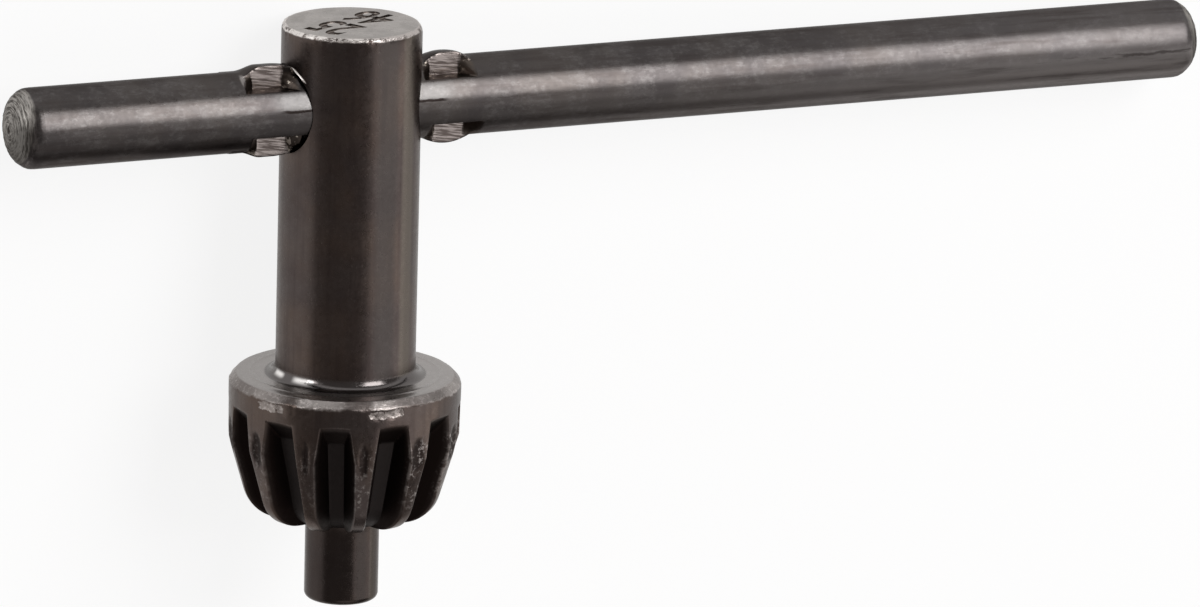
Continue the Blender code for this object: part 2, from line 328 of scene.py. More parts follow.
# %% Move the vertices
DENT_LEVEL = -28.9
DENT_HALF_HEIGHT = 1.75
DENT_DEPTH = 0.24
pilot_foot = PILOT_RADIUS + PILOT_FILLET
whole, lowest = outline[last_tooth_row]
tooth_edge = [whole - push(angle, whole, lowest)[1] for angle in plans[last_tooth_row]]
pushed = {}
for vertex in body.verts:
    row = vertex[row_of]
    radius, height = outline[row]
    turn = atan2(vertex.co.y, vertex.co.x)
    place = turn / HALF_PITCH * HALF_COLUMNS
    pitch = round(place / (2 * HALF_COLUMNS))
    column = round(place - pitch * 2 * HALF_COLUMNS)
    angle = turn + TEETH_TURN
    if row in plans:
        side = 1 if column >= 0 else -1
        key = (row, abs(column))
        from_middle = plans[row][abs(column)]
        angle = pitch * 2 * HALF_PITCH + TEETH_TURN + side * from_middle
        if key not in pushed:
            if row > last_tooth_row:
                cut_back = whole - tooth_edge[abs(column)]
                pushed[key] = (0.0, (radius - pilot_foot) * cut_back / (whole - pilot_foot))
            else:
                pushed[key] = push(from_middle, radius, height)
        way, moved = pushed[key]
        dent = 0.0
        if -31.4 < height < -27.0:
            from_level = height - DENT_LEVEL + 0.4 * sin(3.1 * pitch)
            from_crest = (HALF_PITCH - from_middle) * radius
            reach = 0.62 + 0.3 * sin(5.0 * pitch + 2.0 * side)
            dent = max(1 - (from_level / DENT_HALF_HEIGHT) ** 2 - (from_crest / reach) ** 2, 0.0)
            vertex[dent_layer] = min(dent * 2.5, 1.0)
        floor_angle, floor_radius = foot_angle(height)
        near_floor = from_middle < floor_angle + 0.004 and radius - moved < floor_radius + 0.06
        vertex[gash_layer] = min(max(way, 0.0) / 0.35, 1.0)
        vertex[strip_layer] = 1.0 if way > 0.3 and near_floor else 0.0
        vertex[brink_layer] = max(1 - abs(way) / 0.2, 0.0)
        radius -= moved + DENT_DEPTH * dent
    vertex.co = Vector((radius * cos(angle), radius * sin(angle), height))
print("body vertices:", len(body.verts))

# %% [markdown]
# ## Knocks along the edges
#
# The rim of the top face and the chamfer of the collar have been hit against chucks for years, so their
# edges wander and show small flats. A smooth noise that depends only on the direction moves those rows
# up and down by a tenth or two of a millimetre. Below the chamfer three long shallow chips are knocked
# out of the rim; a value kept with their vertices lets the finish show bare metal there.

# %% Wear the top edge and the collar's chamfer
# turn round the key and half width in degrees, and depth
CHIPS = ((-152.0, 9.5, 0.9), (-91.5, 10.0, 1.0), (65.0, 9.0, 0.8))
CHIP_LEVEL = -24.85
CHIP_HALF_HEIGHT = 0.5


def wander(place, size, seed):
    """A smooth value from about minus one to one for a place, repeated over a size."""
    return noise.noise(place / size + Vector((seed, 2 * seed, -seed))) * 1.6


def chipped(turn, place):
    """How much of the collar's rim is knocked away at a turn round the key, with broken floors."""
    lost = 0.0
    for middle, half, deep in CHIPS:
        share = 1 - abs((degrees(turn) - middle + 180) % 360 - 180) / half
        lost = max(lost, min(max(share, 0.0) * 4, 1.0) * deep)
    return lost * (0.55 + 0.45 * wander(place, 0.6, 4.9))


chip_layer = body.verts.layers.float.new("chip")
for vertex in body.verts:
    radius, height = outline[vertex[row_of]]
    flat = Vector((vertex.co.x, vertex.co.y, 0.0))
    out = flat.normalized() if flat.length > 0 else Vector((1, 0, 0))
    # the chips below the chamfer
    if radius > 9.5 and abs(height - CHIP_LEVEL) < CHIP_HALF_HEIGHT:
        lost = max(chipped(atan2(vertex.co.y, vertex.co.x), vertex.co), 0.0)
        reach = max(1 - ((height - CHIP_LEVEL) / CHIP_HALF_HEIGHT) ** 2, 0.0)
        vertex[chip_layer] = reach * min(2.5 * lost, 1.0)
        vertex.co -= out * 0.2 * lost * reach
    # the edge of the top face
    if radius > 5.6 and height > 6.6:
        low = (7.02 - height) / 0.32
        vertex.co.z -= low * 0.32 * max(wander(flat, 2.6, 3.1) + 0.42, 0.0)
        vertex.co -= out * 0.06 * low * abs(wander(flat, 0.7, 8.3))
    # the chamfer of the collar
    if radius > 9.3 and -24.5 < height < COLLAR_TOP - 0.02:
        low = (COLLAR_TOP - height) / 0.74
        rough = max(wander(flat, 4.0, 5.7), 0.0)
        vertex.co.z -= 0.16 * low * low * max(wander(flat, 1.6, 1.3), -0.3)
        vertex.co -= out * 0.09 * rough * abs(wander(vertex.co, 0.45, 4.9))
    # the collar's side just below the chamfer
    if radius > 9.9 and -26.0 < height <= -24.5:
        rough = max(wander(flat, 4.0, 5.7), 0.0) * max(1 - (-24.5 - height) / 0.9, 0.0)
        vertex.co -= out * 0.10 * rough * abs(wander(vertex.co, 0.4, 4.9))

# %% [markdown]
# ## The cross hole and the stamped figures
#
# The hole for the bar is drilled through the shank and its edge is broken with a countersink, which left
# a thin burr at the upper left. The figures on the top face are punched: a shallow groove with leaning
# sides. Hole and figures are cut with Boolean modifiers from tools that exist only for that moment; the
# burr is a thin strip joined into the body. The figures are plain numbers with no meaning of their own.

# %% Helpers that hold a mesh and cut it
def held(name, shape):
    """Put a bmesh into an object in the scene."""
    mesh = bpy.data.meshes.new(name)
    shape.to_mesh(mesh)
    shape.free()
    thing = bpy.data.objects.new(name, mesh)
    bpy.context.collection.objects.link(thing)
    return thing


def cut(target, tools):
    """Cut tools out of a target, keep the result as its mesh and throw the tools away."""
    for tool in tools:
        step = target.modifiers.new(tool.name, "BOOLEAN")
        step.operation = "DIFFERENCE"
        step.solver = "MANIFOLD"
        step.object = tool
    finished = target.evaluated_get(bpy.context.evaluated_depsgraph_get())
    mesh = bpy.data.meshes.new_from_object(finished)
    target.modifiers.clear()
    target.data = mesh
    for tool in tools:
        bpy.data.objects.remove(tool, do_unlink=True)


# %% Drill the hole and punch the figures
HOLE_RADIUS = 3.53
# the drill with its countersinks, which stands out of the shank on both sides
right_side = [(4.83, 7.0), (3.68, 5.9), (HOLE_RADIUS, 5.75)]
left_side = [(HOLE_RADIUS, -5.0), (3.68, -5.2), (3.80, -5.5), (3.86, -6.0), (4.83, -7.0)]
hole = turned(right_side + left_side, 96)
bmesh.ops.rotate(hole, verts=hole.verts, cent=(0, 0, 0), matrix=Matrix.Rotation(pi / 2, 3, "Y"))

figures = bpy.data.curves.new("figures", "FONT")
figures.body = "25\n46"
figures.size = 5.4
figures.align_x = "CENTER"
figures.align_y = "CENTER"
figures.space_line = 0.84
figures.extrude = 0.12
figures.bevel_depth = 0.12
figures.offset = 0.02
figures.resolution_u = 5
writing = bpy.data.objects.new("figures", figures)
bpy.context.collection.objects.link(writing)
punched = bmesh.new()
punched.from_mesh(bpy.data.meshes.new_from_object(writing.evaluated_get(bpy.context.evaluated_depsgraph_get())))
bpy.data.objects.remove(writing, do_unlink=True)
bmesh.ops.remove_doubles(punched, verts=punched.verts, dist=0.0005)
bmesh.ops.scale(punched, verts=punched.verts, vec=(0.72, 1.06, 1.0))
bmesh.ops.rotate(punched, verts=punched.verts, cent=(0, 0, 0), matrix=Matrix.Rotation(radians(118.7), 3, "Z"))
bmesh.ops.translate(punched, verts=punched.verts, vec=(0.24, 0.18, SHANK_TOP))
bmesh.ops.recalc_face_normals(punched, faces=punched.faces)


def burr(thick, first, last, distance, steps=14):
    """A fine closed sliver of metal along the edge of the hole, between two turns round the hole."""
    shape = bmesh.new()
    round_it = [side * pi / 4 for side in range(8)]
    rings = []
    for step in range(steps + 1):
        share = step / steps
        turn = radians(first + (last - first) * share)
        depth, height = -distance * cos(turn), distance * sin(turn)
        centre = Vector((-sqrt(SHANK_RADIUS ** 2 - depth ** 2), depth, height))
        out = Vector((centre.x, centre.y, 0.0)).normalized()
        away = Vector((0.0, -cos(turn), sin(turn)))
        away = (away - out * away.dot(out)).normalized()
        size = thick * (0.08 + sin(pi * share) ** 0.6)
        ring = [centre + size * (out * sin(angle) + away * cos(angle)) for angle in round_it]
        rings.append([shape.verts.new(corner) for corner in ring])
    for near, far in zip(rings, rings[1:]):
        for side in range(len(round_it)):
            shape.faces.new((near[side], near[side - 1], far[side - 1], far[side]))
    shape.faces.new(rings[0])
    shape.faces.new(rings[-1])
    bmesh.ops.recalc_face_normals(shape, faces=shape.faces)
    return shape


key_body = held("key_body_steel", body)
cut(key_body, [held("hole_tool", hole), held("figures_tool", punched)])
sliver = held("sliver", burr(0.085, 76.0, 44.0, 3.93))
joined = bmesh.new()
joined.from_mesh(key_body.data)
joined.from_mesh(sliver.data)
joined.to_mesh(key_body.data)
joined.free()
bpy.data.objects.remove(sliver, do_unlink=True)
print("body faces after cutting:", len(key_body.data.polygons))

# %% [markdown]
# ## The cross bar
#
# The bar is a plain round rod whose ends were parted off on a lathe, which left a low dome with swirling
# marks and a rough bevel. After it was pushed through the shank it was pinched between dies on both sides
# of it. The dies sank a flat into the front and the back at top and bottom and pushed the metal between
# them up into small ears, and those keep the bar in its hole. The upper ears lean a little to the front.
# The bar is turned like the body, and its rows near the shank are moved first out to the ear and then in
# to the flats.

# %% Sizes of the bar, in millimetres
BAR_RADIUS = 3.45
BAR_LONG_END = 79.4
BAR_SHORT_END = 31.0
BAR_END_DEPTH = 2.1
PINCHED_FROM = 5.4
PINCHED_TO = 11.6
EAR_RISE = 0.55
SHORT_EAR_RISE = 0.52
EAR_HALF_LENGTH = 3.2
EAR_ARCH = 4.15
EAR_CROWN = 0.18
UPPER_EAR_RISE = 0.08
UPPER_EAR_LEAN = 0.17
EAR_MIDDLE = SHANK_RADIUS + 2.4
EAR_HALF_THICKNESS = 1.4
FLAT_HALF_LENGTH = 1.325
FLAT_MIDDLE = SHANK_RADIUS + 0.8 + FLAT_HALF_LENGTH
FLAT_DEPTH = 0.95
FLAT_LEDGE = 2.15
LOWER_LEDGE = 1.7
FLAT_END_REACH = 1.15
FLAT_CREASE = 0.03
LOWER_FLAT_SHIFT = 0.55

# %% The outline of the bar: a dome, a rough bevel, the plain rod and the rows of the ears
end_knots = [
    (0.0, 0.1), (0.12, 0.06), (0.3, 0.0), (1.2, 0.07), (1.9, 0.18), (2.36, 0.34),
    (2.7, 0.57), (2.97, 0.83), (3.3, 1.3), (3.405, 1.6), (3.438, 1.85), (BAR_RADIUS, BAR_END_DEPTH),
]
end_rows = [(radius, between(end_knots, radius)) for radius in levels(0.0, 3.3, 66)] + end_knots[-3:]


def ridge(radius):
    """The height of the cutter's marks at a radius on the end of the bar."""
    return 0.022 * sin(radius * 2 * pi / 0.26 + 1.4 * sin(radius * 2.9)) * min(radius, 1.0)


bar_rows = [(radius, BAR_LONG_END - depth - abs(ridge(radius))) for radius, depth in end_rows]
rod_rows = levels(BAR_LONG_END - BAR_END_DEPTH, PINCHED_TO, 16) + levels(PINCHED_TO, PINCHED_FROM, 62)
rod_rows += levels(PINCHED_FROM, -PINCHED_FROM, 3) + levels(-PINCHED_FROM, -PINCHED_TO, 62)
rod_rows += levels(-PINCHED_TO, -BAR_SHORT_END + BAR_END_DEPTH, 5)
bar_rows += [(BAR_RADIUS, height) for height in rod_rows]
bar_rows += [(radius, depth - BAR_SHORT_END + abs(ridge(radius))) for radius, depth in reversed(end_rows)]
print("bar rows:", len(bar_rows))

# %% The shape of the pinched zone
def ear_radius(across, around):
    """How far from the bar's axis the raised metal reaches, at a place along the bar and round it."""
    along = abs(across) - EAR_MIDDLE
    if abs(along) > EAR_HALF_LENGTH:
        return BAR_RADIUS
    upright = abs(sin(around))
    out = BAR_RADIUS * abs(cos(around))
    if across > 0:
        height = (BAR_RADIUS + EAR_RISE) * sqrt(max(1 - (along / EAR_ARCH) ** 2, 0.0))
    else:
        share = clamped((2.05 - along) / 1.85)
        towards_shank = max(-0.8 - along, 0.0) / 1.6
        height = BAR_RADIUS + SHORT_EAR_RISE * share * share * (3 - 2 * share) * (1 - 0.3 * towards_shank ** 2)
    crown = EAR_CROWN * (out / EAR_HALF_THICKNESS) ** 2
    if sin(around) > 0:
        risen = clamped((height - BAR_RADIUS) / 0.45)
        height += risen * (UPPER_EAR_RISE + UPPER_EAR_LEAN * clamped(BAR_RADIUS * cos(around), -1.2, 1.2))
    rim = (height - crown) / max(upright, 0.2)
    rim = rim + (BAR_RADIUS - rim) * clamped((out - EAR_HALF_THICKNESS) / 0.5)
    over = max(rim - BAR_RADIUS, 0.0)
    return BAR_RADIUS + over * over / (over + 0.05)


def pressed(across, around, radius):
    """How deep a point is inside the nearest pressed flat; less than zero is outside."""
    sideways = radius * abs(cos(around))
    height = radius * sin(around)
    middle = FLAT_MIDDLE if across > 0 else -FLAT_MIDDLE
    if height < 0:
        middle += LOWER_FLAT_SHIFT
    from_flat = sideways - FLAT_DEPTH
    from_ledge = height - FLAT_LEDGE if height > 0 else -height - LOWER_LEDGE
    depth = max(sqrt(max(BAR_RADIUS ** 2 - height ** 2, 0.0)) - FLAT_DEPTH, 0.25)
    lean = atan(FLAT_END_REACH / depth)
    from_end = (FLAT_HALF_LENGTH + max(from_flat, 0.0) * tan(lean) - abs(across - middle)) * cos(lean)
    return softest(FLAT_CREASE, from_flat, from_ledge, from_end), from_flat


def pinched(across, around):
    """Radius of the finished bar at a place along it and round it, and whether that is flat or slope there."""
    start = ear_radius(across, around)
    if pressed(across, around, start)[0] <= 0.0:
        return start, 0.0, 0.0
    inward = last_inside(lambda way: pressed(across, around, start - way)[0], 2.6, 22)
    flat = 1.0 if pressed(across, around, start - inward)[1] < 0.04 else 0.0
    return start - inward, flat, min(inward / 0.2, 1.0) * (1 - flat)


# %% Turn the bar and pinch it
BAR_COLUMNS = 192
quarter = BAR_COLUMNS // 4
crest_turn = atan2(BAR_RADIUS + EAR_RISE, FLAT_DEPTH)


def quarter_knots(ledge):
    """Where the columns of a quarter of the bar lie, close together at the edges of its flat."""
    ledge_turn = asin(ledge / BAR_RADIUS)
    corner_turn = atan2(ledge, FLAT_DEPTH)
    return [
        (0, 0.0), (9, ledge_turn - 0.05), (14, ledge_turn + 0.05), (25, corner_turn - 0.05),
        (29, corner_turn + 0.05), (35, crest_turn - 0.05), (41, crest_turn + 0.04), (quarter, pi / 2),
    ]


upper_knots = quarter_knots(FLAT_LEDGE)
lower_knots = quarter_knots(LOWER_LEDGE)
bar = turned(bar_rows, BAR_COLUMNS)
row_of = bar.verts.layers.int["row"]
flat_layer = bar.verts.layers.float.new("flat")
slope_layer = bar.verts.layers.float.new("slope")
end_layer = bar.verts.layers.float.new("end")
for vertex in bar.verts:
    row = vertex[row_of]
    radius, across = bar_rows[row]
    column = round(atan2(vertex.co.y, vertex.co.x) / (2 * pi) * BAR_COLUMNS) % BAR_COLUMNS
    side, rest = divmod(column, quarter)
    around_knots = upper_knots if side < 2 else lower_knots
    around = between(around_knots, rest) if side % 2 == 0 else pi / 2 - between(around_knots, quarter - rest)
    around += side * pi / 2
    if PINCHED_FROM < abs(across) < PINCHED_TO:
        radius, vertex[flat_layer], vertex[slope_layer] = pinched(across, around)
    vertex[end_layer] = 1.0 if across > BAR_LONG_END - 1.6 or across < -BAR_SHORT_END + 1.6 else 0.0
    vertex.co = Vector((across, -radius * cos(around), radius * sin(around)))
for vertex in bar.verts:
    if vertex[end_layer] > 0.0:
        out = 1 if vertex.co.x > 0 else -1
        vertex.co.x -= out * 0.05 * abs(wander(vertex.co, 0.9, 2.2))
        vertex.co.x -= out * 0.03 * abs(wander(vertex.co, 0.35, 6.1))
print("bar vertices:", len(bar.verts))

# %% [markdown]
# ## From the bench to the ground
#
# Both pieces are laid down with the one matrix, so that their objects stay at the origin. Smooth shading
# with sharp edges where the surface turns by more than 35 degrees keeps the turned faces round and the
# milled edges crisp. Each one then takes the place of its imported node.

# %% Lay the pieces down
def laid(thing, node):
    """Lay a piece down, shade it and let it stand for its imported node."""
    shape = bmesh.new()
    shape.from_mesh(thing.data)
    bmesh.ops.remove_doubles(shape, verts=shape.verts, dist=0.00002)
    bmesh.ops.recalc_face_normals(shape, faces=shape.faces)
    bmesh.ops.transform(shape, matrix=lay_down, verts=shape.verts)
    shape.to_mesh(thing.data)
    shape.free()
    thing.data.shade_smooth()
    thing.data.set_sharp_from_angle(angle=radians(35.0))
    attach(thing, "root")
    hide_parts(node)
    triangles = sum(len(face.vertices) - 2 for face in thing.data.polygons)
    print(thing.name, "has", triangles, "triangles")


cross_bar = held("cross_bar_steel", bar)
laid(key_body, "key_body")
laid(cross_bar, "cross_bar")

# %% [markdown]
# ## Finishes: small tools for nodes
#
# A finish is a tree of shader nodes. These helpers add a node to `tree`, the tree that is being made at the
# moment, link what goes into it and hand back its result, so that a finish reads like a sum.

# %% Helpers for node trees
def put(kind, **settings):
    """Add a node and set its properties."""
    made = tree.nodes.new(kind)
    for name, value in settings.items():
        setattr(made, name, value)
    return made


def feed(socket, value):
    """Link a value that comes from a node, or set a plain one."""
    if isinstance(value, bpy.types.NodeSocket):
        tree.links.new(value, socket)
    else:
        socket.default_value = value


def sum_of(kind, first, second=0.0, clamp=False):
    """One Math node."""
    made = put("ShaderNodeMath", operation=kind, use_clamp=clamp)
    feed(made.inputs[0], first)
    feed(made.inputs[1], second)
    return made.outputs[0]


def plus(first, second, clamp=False):
    """Two values added."""
    return sum_of("ADD", first, second, clamp)


def minus(first, second, clamp=False):
    """A second value taken from a first one."""
    return sum_of("SUBTRACT", first, second, clamp)


def both(*masks):
    """Where all of some masks are set: masks and amounts multiplied."""
    share = masks[0]
    for mask in masks[1:]:
        share = sum_of("MULTIPLY", share, mask)
    return share


def most(*masks):
    """The strongest of some masks."""
    share = masks[0]
    for mask in masks[1:]:
        share = sum_of("MAXIMUM", share, mask)
    return share


def length_of(first, second):
    """The length of a way with two parts at right angles."""
    return sum_of("SQRT", plus(sum_of("POWER", first, 2.0), sum_of("POWER", second, 2.0)))


def ramp(value, low, high, first=0.0, last=1.0):
    """Carry a value from one range to another, smoothly and held at both ends."""
    made = put("ShaderNodeMapRange", interpolation_type="SMOOTHSTEP")
    for socket, number in zip(made.inputs, (value, low, high, first, last)):
        feed(socket, number)
    return made.outputs[0]


def blend(share, first, second):
    """Mix two colours."""
    made = put("ShaderNodeMix", data_type="RGBA")
    feed(made.inputs[0], share)
    for socket, colour in ((made.inputs[6], first), (made.inputs[7], second)):
        feed(socket, (*colour, 1) if isinstance(colour, tuple) else colour)
    return made.outputs[2]


def coated(colour, *layers):
    """Lay colours over a first one, one after the other, each where its mask is set."""
    for share, over in layers:
        colour = blend(share, colour, over)
    return colour


def clouds(place, scale, detail=3.0, roughness=0.55, stretch=(1, 1, 1)):
    """A noise over a place, which may be stretched."""
    moved = put("ShaderNodeVectorMath", operation="MULTIPLY")
    feed(moved.inputs[0], place)
    feed(moved.inputs[1], stretch)
    made = put("ShaderNodeTexNoise")
    feed(made.inputs["Vector"], moved.outputs[0])
    feed(made.inputs["Scale"], scale)
    feed(made.inputs["Detail"], detail)
    feed(made.inputs["Roughness"], roughness)
    return made.outputs["Fac"]


def attribute(name):
    """A value that the mesh carries on its vertices."""
    return put("ShaderNodeAttribute", attribute_name=name).outputs["Fac"]


# %% [markdown]
# ## An effect that both finishes share
#
# Blackened steel is never one colour: the oxide is thicker here and thinner there, handling leaves paler
# and browner clouds, and fine pits catch the light. One node group makes these masks from a place on the
# upright key, so both pieces can use it with their own amounts.

# %% The group of oxide clouds and pits
oxide = bpy.data.node_groups.new("oxide", "ShaderNodeTree")
oxide.interface.new_socket("Place", in_out="INPUT", socket_type="NodeSocketVector")
for name in ("Clouds", "Tint", "Pits", "Grain"):
    oxide.interface.new_socket(name, in_out="OUTPUT", socket_type="NodeSocketFloat")
tree = oxide
place = put("NodeGroupInput").outputs["Place"]
made_marks = put("NodeGroupOutput").inputs
feed(made_marks["Clouds"], ramp(clouds(place, 0.34, 5.0, 0.65), 0.3, 0.7))
feed(made_marks["Tint"], ramp(clouds(place, 0.15, 3.0, 0.5, (1.2, 0.8, 1.0)), 0.36, 0.66))
feed(made_marks["Pits"], ramp(clouds(place, 3.4, 2.0, 0.6), 0.6, 0.72))
feed(made_marks["Grain"], clouds(place, 2.4, 5.0, 0.7))
print("oxide group has", len(oxide.nodes), "nodes")

# %% [markdown]
# ## Where each finish starts and ends
#
# Both finishes start from the same place on the upright key and end on the same kind of surface: bare or
# blackened metal with a fine relief.

# %% The start and the end of a finish
RELIEF_HEIGHT = 0.00005


def read_place():
    """The place on the upright key in millimetres, the oxide's marks there, and the place in three parts."""
    back = put("ShaderNodeMapping", vector_type="TEXTURE")
    feed(back.inputs["Vector"], put("ShaderNodeTexCoord").outputs["Object"])
    feed(back.inputs["Location"], KEY_PLACE)
    feed(back.inputs["Rotation"], KEY_TURN)
    feed(back.inputs["Scale"], (MILLIMETRE, MILLIMETRE, MILLIMETRE))
    marks = put("ShaderNodeGroup", node_tree=oxide)
    feed(marks.inputs["Place"], back.outputs[0])
    parts = put("ShaderNodeSeparateXYZ")
    feed(parts.inputs[0], back.outputs[0])
    return back.outputs[0], marks.outputs, parts.outputs


def finished(steel, piece, colour, rough, relief, strength, tint):
    """Lead the sums of a finish to its surface and give it to its piece."""
    surface = steel.node_tree.nodes["Principled BSDF"].inputs
    bump = put("ShaderNodeBump")
    feed(bump.inputs["Strength"], strength)
    feed(bump.inputs["Distance"], RELIEF_HEIGHT)
    feed(bump.inputs["Height"], relief)
    feed(surface["Base Color"], colour)
    feed(surface["Roughness"], rough)
    feed(surface["Normal"], bump.outputs[0])
    feed(surface["Metallic"], 1.0)
    feed(surface["Specular Tint"], tint)
    piece.data.materials.clear()
    piece.data.materials.append(steel)
    print(steel.name, "has", len(steel.node_tree.nodes), "nodes")


# %% [markdown]
# ## The blackened body
#
# The shank is dark brown-grey and satin, with a cooler and a warmer streak down its right side. Its
# ground top face shows paler metal, and so do the chamfer of the collar, the edges of the teeth and the
# burrs on their crests. Three highlights on the neck fillet and one along the front of the hole's edge are
# painted highlights. The gashes are painted darkest, as painted shade, with their floor strips a little less
# dark. First come the masks, each of which says where one of these marks lies.

# %% The body's masks
blackened = bpy.data.materials.new("blackened_steel")
blackened.use_nodes = True
tree = blackened.node_tree
place, marks, (across, behind, level) = read_place()
from_axis = length_of(across, behind)
gash = attribute("gash")
dent = attribute("dent")
knocked = attribute("chip")

wave = minus(clouds(place, 0.9, 4.0, 0.7), 0.5)
broken = clouds(place, 1.3, 5.0, 0.7)
patches = clouds(place, 0.28, 2.0, 0.5)
drawn = clouds(place, 1.0, 5.0, 0.65, (1.3, 1.3, 0.07))

on_top = ramp(level, 6.93, 6.99)
in_figure = both(ramp(level, 6.985, 6.9), ramp(level, 6.3, 6.5), ramp(from_axis, 5.6, 5.4))
edge_level = plus(level, both(wave, 0.4))
top_edge = both(ramp(from_axis, 5.55, 5.7), ramp(edge_level, 6.6, 6.74), ramp(broken, 0.38, 0.5))

# wear round the rim: a ramp over the turn round the key says where it is rubbed bright and where it is dark
round_key = sum_of("DIVIDE", plus(sum_of("ARCTAN2", behind, across), pi), 2 * pi)
rubbed = put("ShaderNodeValToRGB")
feed(rubbed.inputs[0], plus(round_key, both(wave, 0.012)))
rubbed_stops = [
    (0.0, 0.3), (0.035, 0.35), (0.05, 0.6), (0.095, 0.4), (0.104, 0.12), (0.115, 0.15), (0.124, 0.85),
    (0.178, 0.75), (0.192, 0.2), (0.222, 0.15), (0.232, 0.7), (0.3, 0.55), (0.4, 0.75), (0.45, 0.3),
    (0.53, 0.7), (0.62, 0.2), (0.72, 0.75), (0.83, 0.3), (0.92, 0.65), (1.0, 0.3),
]
for number, (where, amount) in enumerate(rubbed_stops):
    stop = rubbed.color_ramp.elements[number] if number < 2 else rubbed.color_ramp.elements.new(where)
    stop.position = where
    stop.color = (amount, amount, amount, 1)
rim_shine = sum_of("MULTIPLY", rubbed.outputs[0], ramp(patches, 0.2, 0.6, 0.6, 1.2), clamp=True)
rim_level = plus(plus(level, both(wave, 0.7)), both(rim_shine, 0.15))
rim = both(ramp(rim_level, -24.42, -24.2), ramp(level, -23.68, -23.78), ramp(from_axis, 9.2, 9.35))
rim_specks = ramp(clouds(place, 2.6, 3.0, 0.75), 0.52, 0.64)
ragged = both(minus(broken, 0.5), 2.2)
chip = both(ramp(knocked, 0.02, 0.2), ramp(plus(knocked, ragged), 0.4, 0.62))

# the teeth: specks on the crests and bright edges, more of them towards the right
worn_zone = both(ramp(level, -27.0, -28.6), ramp(level, -34.6, -32.6))
rightward = ramp(plus(across, both(wave, 6.0)), -5.0, 5.0, 0.25, 1.0)
crumbs = ramp(clouds(place, 2.3, 4.0, 0.75), 0.5, 0.62)
outside = minus(1.0, gash, clamp=True)
crest = both(worn_zone, rightward, crumbs, outside, ramp(broken, 0.44, 0.56), 0.85)
brink = both(attribute("brink"), worn_zone, rightward, ramp(broken, 0.4, 0.55), 0.8)
bare = most(crest, brink, top_edge)
pilot = ramp(level, -36.2, -37.2)

# a painted highlight along the front part of the hole's upper edge
hole_distance = length_of(behind, level)
hole_edge_highlight = both(ramp(hole_distance, 4.06, 4.0), ramp(from_axis, 5.9, 5.96), ramp(level, 2.7, 2.9))
hole_edge_highlight = both(hole_edge_highlight, ramp(behind, -0.9, -1.15))


def facing(turn, near, far):
    """Where the surface lies round the key at a turn in degrees, fading between two half widths."""
    toward = plus(both(across, cos(radians(turn))), both(behind, sin(radians(turn))))
    return ramp(sum_of("DIVIDE", toward, from_axis), cos(radians(far)), cos(radians(near)))


neck = both(ramp(level, -22.7, -23.2), ramp(from_axis, 7.05, 6.8), ramp(level, -23.78, -23.72))
# three painted highlights on the neck fillet, each at one turn round the key
neck_highlight_spots = most(facing(-149.0, 0.5, 12.0), facing(60.0, 0.5, 12.0), facing(-179.0, 0.5, 10.0))
neck_painted_highlights = both(neck, neck_highlight_spots, ramp(level, -22.9, -23.24), ramp(level, -23.6, -23.28))
on_shank = ramp(from_axis, 6.2, 6.1)
collar_face = both(ramp(level, -23.9, -23.72), ramp(from_axis, 6.6, 6.9), ramp(level, -23.2, -23.5))
print("masks of the body:", len(tree.nodes), "nodes")

# %% [markdown]
# The colours are laid one over another: the oxide with its clouds, streaks, painted shadows and neck with
# its painted highlights, then the ground top face, the rim, its chips, all bare edges and the painted
# highlight on the hole's edge.

# %% The body's colours
dark = coated(
    blend(marks["Tint"], (0.066, 0.052, 0.049), (0.092, 0.068, 0.057)),
    (both(marks["Clouds"], 0.3), (0.12, 0.104, 0.097)),
    (ramp(drawn, 0.44, 0.7, 0.0, 0.45), (0.05, 0.038, 0.036)),
    (both(marks["Pits"], 0.1), (0.15, 0.135, 0.125)),
    (both(on_shank, facing(-80.0, 3.0, 13.0), 0.65), (0.055, 0.0495, 0.0475)),
    (both(on_shank, facing(-56.0, 3.0, 10.0), 0.75), (0.128, 0.11, 0.093)),
    (both(collar_face, 0.85), (0.36, 0.34, 0.33)),
    (neck, (0.11, 0.10, 0.098)),
    (neck_painted_highlights, (0.9, 0.87, 0.85)),
    (both(pilot, 0.6), (0.03, 0.024, 0.022)),
    (dent, (0.028, 0.021, 0.019)),
    # painted shade: the gashes near black, their floor strips a little less dark
    (gash, (0.013, 0.009, 0.008)),
    (attribute("strip"), (0.029, 0.0245, 0.0235)),
)
ground = blend(marks["Clouds"], (0.27, 0.25, 0.236), (0.40, 0.372, 0.353))
ground = blend(both(marks["Pits"], 0.6), ground, (0.20, 0.18, 0.165))
rim_colour = blend(rim_shine, (0.07, 0.055, 0.05), (0.36, 0.33, 0.315))
rim_colour = blend(both(rim_specks, rim_shine, 0.6), rim_colour, (0.62, 0.57, 0.55))
leftward = ramp(across, 1.0, -3.5)
bare_colour = blend(both(top_edge, leftward), (0.46, 0.42, 0.40), (0.72, 0.68, 0.65))
colour = coated(
    dark,
    (on_top, ground),
    (in_figure, (0.19, 0.165, 0.15)),
    (rim, rim_colour),
    (both(chip, ramp(rim_specks, 0.0, 1.0, 0.5, 1.0)), (0.40, 0.36, 0.34)),
    (bare, bare_colour),
    (hole_edge_highlight, (0.8, 0.76, 0.73)),
)
print("with its colours:", len(tree.nodes), "nodes")

# %% [markdown]
# Oil and dirt make the gashes and dents duller, while the pilot and the neck are polished. The relief is
# finest on plain steel and coarsest where the metal is scraped.

# %% The body's roughness and relief
rough = plus(ramp(marks["Grain"], 0.3, 0.7, 0.22, 0.32), both(drawn, 0.08))
rough = plus(plus(rough, both(gash, 0.18)), both(dent, 0.2))
rough = minus(minus(rough, both(pilot, 0.07)), both(neck, 0.14), clamp=True)
relief = minus(both(marks["Grain"], 0.35), both(marks["Pits"], 0.3))
relief = plus(relief, both(clouds(place, 3.2, 4.0, 0.75), most(bare, rim, chip, dent), 2.2))
finished(blackened, key_body, colour, rough, relief, 0.35, (0.8, 0.79, 0.78, 1))
